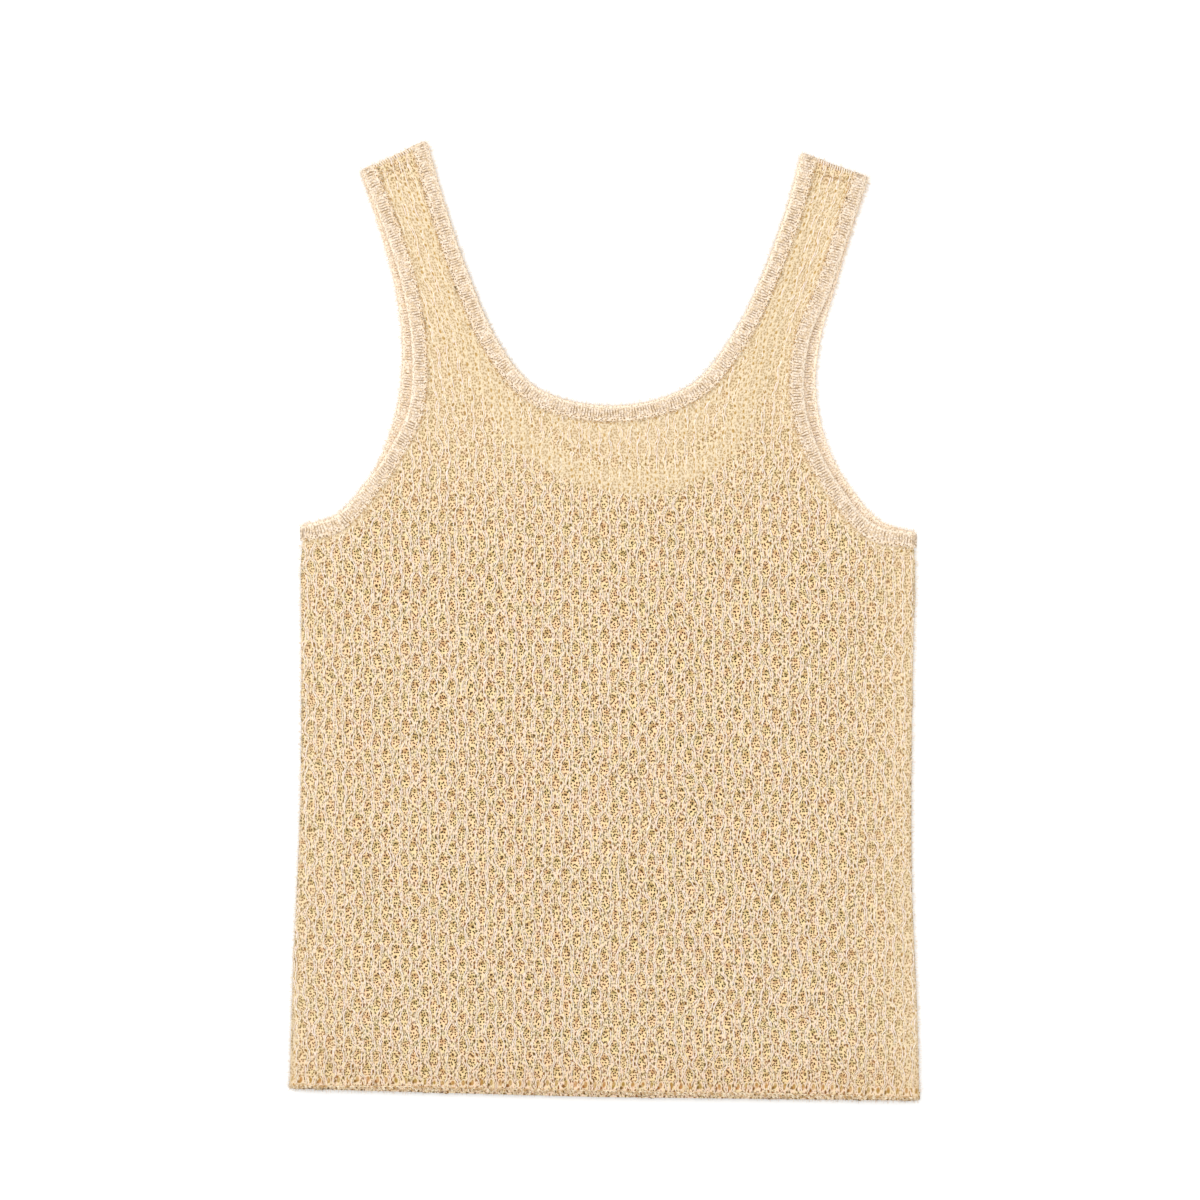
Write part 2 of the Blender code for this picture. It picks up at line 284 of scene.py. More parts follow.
def net(name, node, side, steps, behind, seams, material):
    """The net of one panel: a sheet on the knitting's lattice, trimmed to the CAD outline.
    steps are the mesh steps to a cell across and up. behind is the cover of the panel that
    backs it. seams are the trees of the bands."""
    cover = Cover(node, side)
    rows = int(np.ceil(KNIT_HEIGHT / CELL_HIGH))
    across = (COLUMNS[1] - COLUMNS[0]) * steps[0]
    bm = bmesh.new()
    bmesh.ops.create_grid(bm, x_segments=across, y_segments=rows * steps[1], size=0.5)
    bm.verts.ensure_lookup_table()
    square = np.array([vertex.co[:2] for vertex in bm.verts]) + 0.5
    u = COLUMNS[0] + square[:, 0] * (COLUMNS[1] - COLUMNS[0])
    v = square[:, 1] * (rows + 1) - 1.0
    x, y = laid(u, v)
    stitch = bm.verts.layers.float_vector.new("stitch")
    for vertex, *place, right, up in zip(bm.verts, u, v, uneven(u, v), x * MM, y * MM):
        vertex[stitch] = place
        vertex.co = (right, up, 0)
    inside = {vertex: cover.level(*vertex.co[:2]) is not None for vertex in bm.verts}
    outside = [face for face in bm.faces if not any(inside[vertex] for vertex in face.verts)]
    bmesh.ops.delete(bm, geom=outside, context="FACES")
    for vertex in bm.verts:
        if not inside[vertex]:
            vertex.co.xy = cover.beside(*vertex.co[:2], inset=-NET_OVERHANG)
    bmesh.ops.inset_region(bm, faces=bm.faces, thickness=EDGE_LOOP * MM, use_boundary=True)
    found = np.array([vertex[stitch][:2] for vertex in bm.verts])
    sunk = openness(found[:, 0], found[:, 1])
    closed = bm.verts.layers.float.new("closed")
    for vertex, depth in zip(bm.verts, np.interp(sunk, (0, 1), NET_DEPTHS)):
        spot = Vector((*vertex.co[:2], cover.rim))
        away = min(seam.find_nearest(spot)[3] for seam in seams) / MM
        seamed = np.exp(-((away / SEAM_EASE) ** 2))
        tight = max(tightness(vertex.co.x / MM, vertex.co.y / MM), seamed)
        bare = behind.level(*spot.xy) is None
        past = np.clip(behind.tree.find_nearest(spot)[3] / MM / BARE_EASE, 0, 1) * bare
        folding = np.interp(vertex.co.y / MM, FOLD_HEIGHTS, (1, FOLD_CLOSED))
        # This holds how much the painted shade in the holes is lessened: where the cloth is drawn tight,
        # beside the seams, and past the other panel's outline, where no cloth lies behind in shade.
        vertex[closed] = max(tight, past * past * (3 - 2 * past)) * folding
        level = cover.level(*vertex.co[:2])
        if level is None:
            level = cover.level(*cover.beside(*vertex.co[:2]))
        if level is None:
            level = cover.rim
        fall = abs(level - cover.rim) / (ROUNDED * MM)
        vertex.co.z = level - side * depth * MM * min(fall, 1.0) * (1 - SEAM_RAISE * seamed)
    if side < 0:
        bmesh.ops.reverse_faces(bm, faces=bm.faces)
    # Where the sheet folds over at its edge its wall grows outwards, so it starts further in.
    bm.normal_update()
    for vertex in bm.verts:
        if vertex.normal.z * side < 0:
            vertex.co.z -= side * NET_WALL * MM
    mesh = mesh_of(bm, name)
    mesh.shade_smooth()
    piece = placed(name, mesh, material)
    wall = piece.modifiers.new("wall", "SOLIDIFY")
    wall.thickness = NET_WALL * MM
    wall.offset = -1.0
    return piece, cover


# Slubby combed cotton, knitted as an open net: matt cream strands round small holes, which
# show the shade and the tan of the cloth behind, warmer and darker in the open cells. The
# holes are drawn from each point's place in the knitting, a little coarser than real ones.
NET_STITCH = (1.45, 1.65)  # from one small stitch to the next inside a cell, across and up
NET_GAP = (CELL_WIDE / 4, CELL_HIGH / 4)  # from one upright gap between the cells to the next
NET_SWAY = (0.8, 0.7)  # how far small stitches stray, in stitches
GAP_SWAY = (0.35, 0.5)  # and what share of it the gaps stray, in gaps
NET_SWAY_SIZE = 3.84615  # over what distance they stray
CELL_EDGE = (0.22, 0.75)  # how open the knitting is where a cell begins, and where it is full
HOLE_EDGE = (0.25, 0.37)  # a hole's dark and its end, as radii in stitches
STRAND_EDGE = (0.4, 0.68)  # where the yarn round it begins to lighten, and is light
GAP_EDGE = (0.15, 0.38)  # a gap's dark and its end, as radii in gaps
CELL_DARK = (0.6, 1.0)  # how dark a hole is: outside the cells, and inside
CLOSED_OR_UNSHADED_DARK = (0.45, 0.15)  # what is left of the holes' painted shade, and of the smears, where the cloth is closed and where no cloth behind lies in shade
PATCH_SIZE = 5.26316  # from where the shade is olive to where it is brown
TINGE_SIZE = 2.38095  # from one tuft of the yarn to the next
SMEAR_SIZE = 3.0303  # the tan of the cloth behind, in painted shade, shows as smears at the tops of the cells
SMEAR_EDGE = (1.1, 1.34)
SMEAR_STRONG = 0.62
LOW_EDGE = (-0.7, 0.1)  # the edge of the large holes above the hem
LOW_STRONG = 0.85
LOW_VARIES = (0.6, 1.1)
WARM_ROWS = 2.4  # the cloth is warmer this far above the hem, in cells
HEM_WARM = 0.1  # and this much at the hem
STEPS = {  # a kind of node with its settings, its inputs in order, and its result
    "object place": ("TexCoord", {}, (), "Object"),
    "mesh stitch": ("Attribute", {"attribute_name": "stitch"}, (), "Vector"),
    "mesh closed": ("Attribute", {"attribute_name": "closed"}, (), "Fac"),
    "x": ("SeparateXYZ", {}, ("Vector",), 0),
    "y": ("SeparateXYZ", {}, ("Vector",), 1),
    "z": ("SeparateXYZ", {}, ("Vector",), 2),
    "join": ("CombineXYZ", {}, ("X", "Y"), 0),
    "shift": ("VectorMath", {"operation": "ADD"}, ("_0", "_1"), 0),
    "stretch": ("VectorMath", {"operation": "MULTIPLY_ADD"}, ("_0", "_1", "_2"), 0),
    "lessen": ("Math", {"operation": "SUBTRACT", "use_clamp": True}, ("_0", "_1"), 0),
    "range": ("MapRange", {}, ("_0", "_1", "_2", "_3", "_4"), 0),
    "ease": ("MapRange", {"interpolation_type": "SMOOTHSTEP"}, ("_0", "_1", "_2", "_3", "_4"), 0),
    "noise": ("TexNoise", {}, ("Vector", "Scale", "Detail"), 0),
    "stray": ("TexNoise", {}, ("Vector", "Scale", "Detail"), 1),
    "spots": ("TexVoronoi", {"voronoi_dimensions": "2D"}, ("Vector", "Scale", "Randomness"), 0),
    "mix": ("Mix", {"data_type": "RGBA"}, ("_0", "_6", "_7"), 2),
}


def add_chain(tree, rows):
    """Adds nodes one after another, and returns their results by name. A row is the result's
    name, the step, which is one of STEPS or a Math operation, and the inputs: earlier results,
    numbers, or colours in hex."""
    found = {}
    for result, step, *values in rows:
        sum_step = ("Math", {"operation": step.upper()}, ("_0", "_1", "_2"), 0)
        kind, settings, names, output = STEPS.get(step, sum_step)
        values = [found[value] if value in found else value for value in values]
        values = [linear(value) if isinstance(value, str) else value for value in values]
        found[result] = add_node(tree, kind, settings, **dict(zip(names, values))).outputs[output]
    return found


net_yarn, tree, shader = new_material("cotton_net")
found = add_chain(tree, (
    ("place", "object place"),
    ("stitch", "mesh stitch"),
    ("closed", "mesh closed"),
    ("u", "x", "stitch"),
    ("v", "y", "stitch"),
    ("uneven", "z", "stitch"),
    # The same sums as in openness, so that each cell's drop is drawn sharp.
    ("turn", "multiply", "v", 2 * np.pi),
    ("wave", "sine", "turn"),
    ("skew", "multiply", "wave", "wave"),
    ("turn", "multiply_add", "skew", DROP, "turn"),
    ("wave", "sine", "turn"),
    ("wave", "multiply", "wave", SQUARE),
    ("wave", "tanh", "wave"),
    ("wave", "multiply", "wave", "uneven"),
    ("even", "multiply_add", "wave", SWUNG, EVEN_HALF),
    ("odd", "subtract", 0.5 - STRANDS_APART, "even"),
    ("aside", "pingpong", "u", 0.5),
    ("other", "subtract", 0.5, "aside"),
    ("even_share", "divide", "aside", "even"),
    ("odd_share", "divide", "other", "odd"),
    ("even_share", "power", "even_share", 2.0),
    ("odd_share", "power", "odd_share", 2.0),
    ("even_share", "subtract", 1.0, "even_share"),
    ("odd_share", "subtract", 1.0, "odd_share"),
    ("even_share", "multiply", "even_share", "even"),
    ("odd_share", "multiply", "odd_share", "odd"),
    ("open", "maximum", "even_share", "odd_share"),
    ("open", "divide", "open", WIDEST_HALF),
    # The row of large holes above the hem.
    ("row", "subtract", "v", HEM_HOLES[0]),
    ("row", "divide", "row", HEM_HOLES[1]),
    ("row", "power", "row", 2.0),
    ("beside", "multiply", "u", 4 * np.pi),
    ("beside", "cosine", "beside"),
    ("low", "subtract", "beside", "row"),
    ("above", "greater_than", "v", HEM_HOLES[0] + HEM_HOLES[1]),
    ("open", "multiply", "open", "above"),
    ("open", "maximum", "open", "low"),
    ("cell", "ease", "open", *CELL_EDGE),
    # The small holes inside the cells.
    ("sway", "stray", "place", 1 / NET_SWAY_SIZE / MM, 1.0),
    ("sway", "stretch", "sway", (*NET_SWAY, 0.0), (-NET_SWAY[0] / 2, -NET_SWAY[1] / 2, 0.0)),
    ("loops", "stretch", "stitch", (CELL_WIDE / NET_STITCH[0], CELL_HIGH / NET_STITCH[1], 0.0), "sway"),
    ("loops", "spots", "loops", 1.0, 0.8),
    ("hole", "ease", "loops", *HOLE_EDGE, 1.0, 0.0),
    ("strand", "ease", "loops", *STRAND_EDGE),
    # Between the cells small upright gaps show beside the legs of the stitches.
    ("lean", "multiply", "u", 2 * np.pi),
    ("lean", "sine", "lean"),
    ("lean", "multiply", "lean", "wave"),
    ("across", "multiply_add", "lean", -SWUNG, "u"),
    ("legs", "join", "across", "v"),
    ("half", "stretch", "sway", (*GAP_SWAY, 0.0), (0.5, 0.0, 0.0)),
    ("legs", "stretch", "legs", (CELL_WIDE / NET_GAP[0], CELL_HIGH / NET_GAP[1], 0.0), "half"),
    ("across", "x", "legs"),
    ("up", "y", "legs"),
    ("column", "floor", "across"),
    ("up", "multiply_add", "column", 0.5, "up"),
    ("legs", "join", "across", "up"),
    ("legs", "spots", "legs", 1.0, 0.35),
    ("leg", "ease", "legs", *GAP_EDGE),
    ("patch", "noise", "place", 1 / PATCH_SIZE / MM, 2.0),
    ("patch", "range", "patch", 0.38, 0.62),
    ("tinge", "noise", "place", 1 / TINGE_SIZE / MM, 1.0),
    ("tinge", "range", "tinge", 0.4, 0.6),
    # depth is how strong the painted shade in a hole is: stronger in the cells, and lessened where the
    # cloth is closed and where no cloth behind lies in shade.
    ("depth", "range", "cell", 0.0, 1.0, *CELL_DARK),
    ("depth", "multiply", "depth", "hole"),
    ("fade", "range", "closed", 0.0, 1.0, 1.0, CLOSED_OR_UNSHADED_DARK[0]),
    ("depth", "multiply", "depth", "fade"),
    # The tan of the cloth behind, darkened by painted shade, at the tops of the cells and in the large
    # holes.
    ("high", "multiply", "v", 4 * np.pi),
    ("high", "sine", "high"),
    ("high", "multiply_add", "high", -0.5, 0.5),
    ("high", "multiply", "high", "open"),
    ("smear", "noise", "place", 1 / SMEAR_SIZE / MM, 1.0),
    ("smear", "add", "smear", "high"),
    ("smear", "ease", "smear", *SMEAR_EDGE, 0.0, SMEAR_STRONG),
    ("fade", "range", "closed", 0.0, 1.0, 1.0, CLOSED_OR_UNSHADED_DARK[1]),
    ("smear", "multiply", "smear", "fade"),
    ("low", "ease", "low", *LOW_EDGE, 0.0, LOW_STRONG),
    ("varied", "range", "tinge", 0.0, 1.0, *LOW_VARIES),
    ("low", "multiply", "low", "varied"),
    ("smear", "maximum", "smear", "low"),
    ("depth", "lessen", "depth", "low"),
    ("hemward", "ease", "v", 0.0, WARM_ROWS, HEM_WARM, 0.0),
    # The painted shade in a hole, the yarn close round it, darker where that painted shade reaches it, the
    # yarn further out, and the cloth behind, in painted shade.
    ("shade", "mix", "patch", "2a1e02", "482206"),
    ("shade", "mix", "closed", "shade", "7c5c2a"),
    ("inner", "mix", "patch", "e8ce94", "f1c899"),
    ("inner", "mix", "closed", "inner", "dec6a0"),
    ("outer", "mix", "tinge", "f2d4ac", "ead8a4"),
    ("outer", "mix", "closed", "outer", "e6d4b6"),
    ("inside", "mix", "strand", "inner", "outer"),
    ("ochre", "mix", "patch", "9a7c26", "b07836"),
    ("inside", "mix", "smear", "inside", "ochre"),
    # The gaps between the cells, dark with painted shade, and the yarn there.
    ("gaps", "mix", "patch", "685208", "8c5414"),
    ("gaps", "mix", "closed", "gaps", "be9858"),
    ("yarn", "mix", "tinge", "f3d8bc", "e9d6ac"),
    ("yarn", "mix", "closed", "yarn", "e9d4b0"),
    ("between", "mix", "leg", "gaps", "yarn"),
    ("tint", "mix", "cell", "between", "inside"),
    ("tint", "mix", "depth", "tint", "shade"),
    ("tint", "mix", "hemward", "tint", "b87840"),
))
tree.links.new(found["tint"], shader.inputs["Base Color"])
shader.inputs["Roughness"].default_value = 0.95
bump = add_node(tree, "Bump", Strength=0.6, Distance=0.6 * MM, Height=found["loops"])
tree.links.new(bump.outputs[0], shader.inputs["Normal"])

behind = Cover("back_panel", -1)
seams = [Cover(band, 1).tree for band in ("neck_band", "armhole_band_left", "armhole_band_right")]
front_net, front_cover = net("front_panel_net", "front_panel", 1, (6, 8), behind, seams, net_yarn)
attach(front_net, "root")
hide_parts("front_panel")

# ---- front ridges
# The raised lines of the honeycomb: columns of purled stitches that run from hem to
# shoulder and lean together and apart, worked in the same yarn as the net.

STRAND_RADIUS = 0.35
STRAND_DEPTHS = (0.3, 0.75)  # its middle under the panel's outer surface: beside a cell, between
STRAND_STEPS = 8  # points to a cell's height
# At how many of its points it dives into the net: between cells, and beside one.
STRAND_DIVES = (0.4, 0.2)
DRAWN_DIVES = 0.32  # and where the cloth is drawn tight
DIVE_DEPTH = 1.5
STRAND_STRAYS = (0.3, 0.18, 0.12)  # how far lengths between two dives stray, points, and depths
FIRST_RIDGE = 0.2  # the ridges rise out of the hem's cast-off row here, in cells
OFF_CLOTH = (9.0, 9.0, 0.0)  # a last point that is beside the cloth ends the last length


def yarn_mesh(name, runs, radius, material):
    """Loose lengths of yarn as one mesh. Each run is an array of points in metres."""
    curve = bpy.data.curves.new(name, "CURVE")
    curve.dimensions = "3D"
    curve.bevel_depth = radius * MM
    curve.bevel_resolution = 0
    curve.use_fill_caps = True
    for run in runs:
        run[:, 2] = run[:, 2].clip(radius * MM)
        spline = curve.splines.new("POLY")
        spline.points.add(len(run) - 1)
        spline.points.foreach_set("co", np.column_stack([run, np.ones(len(run))]).ravel())
    lines = bpy.data.objects.new(name, curve)
    bpy.context.collection.objects.link(lines)
    graph = bpy.context.evaluated_depsgraph_get()
    mesh = bpy.data.meshes.new_from_object(lines.evaluated_get(graph))
    bpy.data.objects.remove(lines)
    mesh.shade_smooth()
    mesh.materials.clear()
    return placed(name, mesh, material)


def ridges(name, cover, columns, material):
    """The ridges of some of a panel's columns, as two strands each, broken where they leave it."""
    runs = []
    v = np.arange(FIRST_RIDGE, KNIT_HEIGHT / CELL_HIGH, 1.0 / STRAND_STEPS)
    for column in range(*columns):
        for start, way, strand in ((0.25, 1, 1), (0.25, 1, -1), (0.75, -1, 1), (0.75, -1, -1)):
            u = np.full(len(v), column + start)
            u = u + way * CELL_BULGE * swing(u, v) + strand * STRANDS_APART / 2
            x, y = laid(u, v)
            beside = 0.5 - 0.5 * way * strand * swing(u, v)
            often = np.interp(beside, (0, 1), STRAND_DIVES)
            dives = rng.random(len(v)) < often + (DRAWN_DIVES - often) * drawn(y)
            lengths = np.cumsum(dives)
            strays = rng.normal(0, STRAND_STRAYS[0], lengths[-1] + 1)[lengths]
            x = x + strays + rng.normal(0, STRAND_STRAYS[1], len(v))
            y = y + rng.normal(0, STRAND_STRAYS[1], len(v))
            sink = np.interp(beside, (0, 1), STRAND_DEPTHS[::-1])
            sink = np.where(dives, DIVE_DEPTH, sink) + rng.normal(0, STRAND_STRAYS[2], len(v))
            run = []
            for *spot, down in (*zip(x * MM, y * MM, sink * MM), OFF_CLOTH):
                level = cover.level(*spot)
                if level is not None:
                    run.append((*spot, level - cover.side * down))
                    continue
                if len(run) > 2:
                    runs.append(np.array(run))
                run = []
    return yarn_mesh(name, runs, STRAND_RADIUS, material)


def ridge_halves(panel, cover):
    """A panel's ridges, in a left and a right piece."""
    halves = []
    for half, columns in (("left", (COLUMNS[0], 0)), ("right", (0, COLUMNS[1]))):
        piece = ridges(panel + "_ridges_" + half, cover, columns, ridge_yarn)
        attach(piece, "root")
        halves.append(piece)
    return halves


# The same cotton, lighter where it stands proud and catches the light, and most even where it
# is drawn tight.
RIDGE_SLUB = 1.923077  # from one thick place of the yarn to the next
RIDGE_TINGE = 3.33333
HEM_WARMER = 0.25  # how much warmer the ridges are at the hem
HEM_WARM_TOP = HEM_HEIGHTS[1] + WARM_ROWS * CELL_HIGH
ridge_yarn, tree, shader = new_material("cotton_ridge_yarn")
found = add_chain(tree, (
    ("place", "object place"),
    ("up", "y", "place"),
    ("slub", "noise", "place", 1 / RIDGE_SLUB / MM, 3.0),
    ("slub", "range", "slub", 0.36, 0.54),
    ("tinge", "noise", "place", 1 / RIDGE_TINGE / MM, 1.0),
    ("tinge", "range", "tinge", 0.42, 0.58),
    ("taut", "ease", "up", (TAUT_HEIGHT - TAUT_EASE) * MM, (TAUT_HEIGHT + TAUT_EASE) * MM),
    ("hemward", "ease", "up", HEM_HEIGHTS[1] * MM, HEM_WARM_TOP * MM, HEM_WARMER, 0.0),
    ("light", "mix", "tinge", "fbf0dc", "fcece2"),
    ("loose", "mix", "slub", "e6d0b4", "light"),
    ("tight", "mix", "slub", "eed8ba", "light"),
    ("tint", "mix", "taut", "loose", "tight"),
    ("tint", "mix", "hemward", "tint", "dcb890"),
))
tree.links.new(found["tint"], shader.inputs["Base Color"])
shader.inputs["Roughness"].default_value = 0.9

front_ridges = ridge_halves("front_panel", front_cover)

# ---- front hem and shoulder seams
# The cast-off row along the panel's lower edge: one strand of the same yarn that loops over
# itself like a chain and stops the knitting from running. A like row closes each shoulder,
# just in front of the fold.

HEM_LOOP = 2.5  # from one loop to the next
HEM_REACH = (0.95, 1.1)  # half a loop's height and width
HEM_RISE = 1.3  # from the panel's edge up to the middle of the loops
HEM_YARN = 0.42
HEM_STEPS = 10  # points to a loop
HEM_UNEVEN = (0.5, 0.3)  # how much the loops' pitch and height vary
HEM_UNLIKE = 99.0  # the height is taken from so far off, so that it varies by itself
HEM_LEAN = 0.35  # how far a loop leans over, in millimetres
HEM_WEAVE = (0.25, 0.5)  # how far the strand rises and falls, and its middle under the surface


def chain(name, cover, start, end, fine, material):
    """A row of loops on a panel, from one point of it to another. fine scales the hem's loops."""
    start, end = np.array(start), np.array(end)
    ahead = (end - start) / np.linalg.norm(end - start)
    turns = np.arange(0, np.linalg.norm(end - start) / HEM_LOOP / fine, 1 / HEM_STEPS)
    x, y = start[:, None] + fine * HEM_LOOP * turns * ahead[:, None]
    phase = 2 * np.pi * turns + HEM_UNEVEN[0] * drift(x, 0 * x, WANDER_UP)
    taller = 1 + HEM_UNEVEN[1] * drift(x, 0 * x + HEM_UNLIKE, WANDER_ACROSS)
    tall = fine * HEM_REACH[0] * taller * np.cos(phase)
    along = fine * (HEM_REACH[1] * np.sin(phase) - HEM_LEAN * np.cos(phase))
    x, y = x + along * ahead[0] - tall * ahead[1], y + along * ahead[1] + tall * ahead[0]
    run = []
    for spot in zip(x * MM, y * MM):
        level = cover.level(*spot)
        level = cover.level(*cover.beside(*spot)) if level is None else level
        run.append((*spot, (cover.rim if level is None else level)))
    run = np.array(run)
    run[:, 2] += cover.side * (HEM_WEAVE[0] * np.sin(phase) - HEM_WEAVE[1]) * MM
    return yarn_mesh(name, [run], fine * HEM_YARN, material)


# The same cotton, warmer and duller in the cast-off row, where the loops lie packed; its darker
# slubs are partly painted shade between the packed loops, and between the links across the seams.
HEM_SLUB = 2.32558  # from one thick place of the yarn to the next
hem_yarn, tree, shader = new_material("cotton_cast_off_yarn")
found = add_chain(tree, (
    ("place", "object place"),
    ("slub", "noise", "place", 1 / HEM_SLUB / MM, 3.0),
    ("slub", "range", "slub", 0.4, 0.62),
    ("tint", "mix", "slub", "c29c68", "f6e6ca"),
))
tree.links.new(found["tint"], shader.inputs["Base Color"])
shader.inputs["Roughness"].default_value = 0.95

HEM_SHORT = 1.5  # the row stops this far in from the panel's corners
HEM_ENDS = [
    (side * (HEM_WIDTH / 2 - HEM_SHORT), height + HEM_RISE) for side, height in zip((-1, 1), HEM_HEIGHTS)
]
front_hem = chain("front_hem_chain", front_cover, *HEM_ENDS, 1.0, hem_yarn)
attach(front_hem, "root")
SHOULDER_ROWS = (
    ("left", (-141.2, 273.6), (-121.6, 282.4)),  # from the armhole band to the neck band
    ("right", (132.2, 276.2), (152.8, 268.8)),
)
SHOULDER_FINE = 0.62
for side, start, end in SHOULDER_ROWS:
    piece = chain("shoulder_seam_" + side, front_cover, start, end, SHOULDER_FINE, hem_yarn)
    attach(piece, "root")

# Overcast stitches close each fold between the bands.
FOLD_ENDS = (
    ("left", (-141.4, 281.3), (-118.9, 291.5)),
    ("right", (130.9, 284.7), (153.6, 276.5)),
)
FOLD_STITCH = 1.5  # from one stitch to the next
FOLD_UNEVEN = 0.4
FOLD_SIZES = (1.2, 2.1)  # half a stitch's reach in from the fold, and up
FOLD_LEVEL = 2.7  # the stitches' middle above the floor
for side, start, end in FOLD_ENDS:
    start, end = np.array(start), np.array(end)
    length = np.linalg.norm(end - start)
    ahead = (end - start) / length
    out = np.array((-ahead[1], ahead[0]))
    at = np.arange(0, length, FOLD_STITCH / HEM_STEPS)
    turn = 2 * np.pi * at / FOLD_STITCH + FOLD_UNEVEN * drift(at, 0 * at, WANDER_UP)
    spots = start + at[:, None] * ahead + FOLD_SIZES[0] * (np.cos(turn) - 1)[:, None] * out
    run = np.column_stack([spots, FOLD_LEVEL + FOLD_SIZES[1] * np.sin(turn)]) * MM
    piece = yarn_mesh("shoulder_fold_" + side, [run], HEM_YARN, ridge_yarn)
    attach(piece, "root")

# ---- back panel
# The hidden layer, knitted like the front one. It shows through the net, beside the
# armholes, and from below.

back_net, back_cover = net("back_panel_net", "back_panel", -1, (4, 6), front_cover, seams, net_yarn)
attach(back_net, "root")
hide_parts("back_panel")
back_ridges = ridge_halves("back_panel", back_cover)
back_hem = chain("back_hem_chain", back_cover, *HEM_ENDS, 1.0, hem_yarn)
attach(back_hem, "root")

# ---- neck band
# A narrow strip of rib, knitted onto the neck edge and cast off along the opening. It runs
# over both shoulders and round the lower neckline of the hidden layer.

NECK_BAND = 10.0
NECK_UPPER = (
    (-109.7, 295.9), (-99.5, 260.0), (-84.5, 215.0), (-64.5, 170.0), (-39.5, 142.2),
    (6.5, 132.4), (52.0, 144.5), (78.5, 175.0), (96.5, 211.0), (113.0, 256.0),
    (121.4, 288.4),
)
NECK_LOWER = (
    (-109.7, 295.9), (-96.0, 238.0), (-83.5, 190.0), (-67.0, 148.0), (-36.0, 107.5),
    (18.8, 90.4), (66.5, 106.0), (88.0, 151.0), (100.0, 198.0), (112.0, 246.0),
    (121.4, 288.4),
)
LEVELS = (2.6, 2.45)  # inner side of the shown run and of the hidden one, above the floor
FOLD_RADIUS = 0.3
FOLD_REACH = 2.3  # from a fold's edge to where the cloth lies flat
WAY_EASE = 14.0  # the strip turns square to a fold over this length
RIB_PITCH = 3.3
RIB_STEPS = 8  # mesh steps to a rib
RIB_WALLS = (2.0, 2.45)  # thickness between two ribs and on one
EDGE_ROUND = 1.9  # how far the cast-off edge rounds in
EDGE_SCALLOP = 0.3  # how far its small loops stand out
EDGE_UNEVEN = (0.4, 1)  # and what share of it each of them does
SLIT_SHARES = (0.0, 0.12, 0.35, 0.6, 0.84, 0.92, 1.0)  # of the band's width, from the opening
SLIT_DEPTHS = (0.0, 0.25, 0.55, 0.85, 0.9, 0.3, 0.7)  # how open the gap between ribs is there
SPLIT_SHARES = (0.0, 0.15, 0.6, 1.0)
SPLIT_DEPTHS = (0.0, 0.5, 1.0, 0.8)  # and the line between a rib's two strands
RIB_LEAN = 0.12  # how far a rib leans over from edge to seam, in ribs
RIB_VARIES = (0.6, 1.25)  # how deep the lines are from rib to rib
EDGE_LEAST = 0.2  # the wall's thickness at the very edge, of its whole
INNER_LOOK = (2.3, 3.9)  # the CAD strip's inner side is looked for between these heights
FOLD_TURNS = (30.0, 60.0, 90.0, 120.0, 150.0)
SPAN_STEPS = 60  # points from one given spot of an edge to the next
ACROSS = (0.0, 0.12, 0.4, 1.0, 2.0, 3.1, 4.3, 5.5, 6.7, 7.8, 8.8, 9.5)  # mesh steps from the opening
SHOULDER_LEFT = ((-150.5, 277.4), (-109.7, 295.9))  # armhole corner, neck corner
SHOULDER_RIGHT = ((162.8, 273.3), (121.4, 288.4))


def curve_through(spots):
    """A smooth curve through the spots, as a dense array of points."""
    spots = [Vector(spot) for spot in spots]
    ahead = [spots[0], *spots, spots[-1]]
    points = [spots[0]]
    for i in range(len(spots) - 1):
        start, end = spots[i], spots[i + 1]
        reach = (end - start).length / 3
        out = (end - ahead[i]).normalized() * reach
        back = (ahead[i + 3] - start).normalized() * reach
        bend = interpolate_bezier(start, start + out, end - back, end, SPAN_STEPS + 1)
        points += [Vector(point[:2]) for point in bend[1:]]
    return np.array([point[:2] for point in points])


def unit(vector):
    """The vector, or each of a list of them, at a length of 1."""
    return vector / np.linalg.norm(vector, axis=-1, keepdims=True)


def way(start, end):
    """The direction from one spot to another."""
    return unit(np.array(end, float) - np.array(start, float))


def lengths_along(line):
    """The length along a line to each of its points."""
    return np.concatenate([[0.0], np.cumsum(np.linalg.norm(np.diff(line, axis=0), axis=1))])


def at_lengths(at, along, values):
    """What a line's points hold, at other lengths along it."""
    return np.stack([np.interp(at, along, column) for column in values.T], axis=-1)


def run_of(spots, turn, first_way, last_way):
    """An opening's edge with its length to each point, and the way into the cloth there."""
    edge = curve_through(spots)
    along = lengths_along(edge)
    ahead = unit(np.gradient(edge, axis=0))
    inward = turn * np.stack([-ahead[:, 1], ahead[:, 0]], axis=1)
    from_first = np.clip(1 - along / WAY_EASE, 0, 1)[:, None]
    from_last = np.clip(1 - (along[-1] - along) / WAY_EASE, 0, 1)[:, None]
    ways = inward + (first_way - inward) * from_first + (last_way - inward) * from_last
    return edge, along, unit(ways)


def valley(rib, share):
    """How deep the strip sinks, from 0 to 1, at a count of ribs along it and a share of its
    width in from the opening. Each rib has two strands. The gap between two ribs is an open
    slit near the seam, and small loops close it there."""
    whole = np.cos(np.pi * rib) ** 8
    inner = 0.5 * np.cos(np.pi * (rib - 0.5)) ** 10
    slit = np.interp(share, SLIT_SHARES, SLIT_DEPTHS)
    split = np.interp(share, SPLIT_SHARES, SPLIT_DEPTHS)
    return np.clip(whole * slit + inner * split, 0, 1)


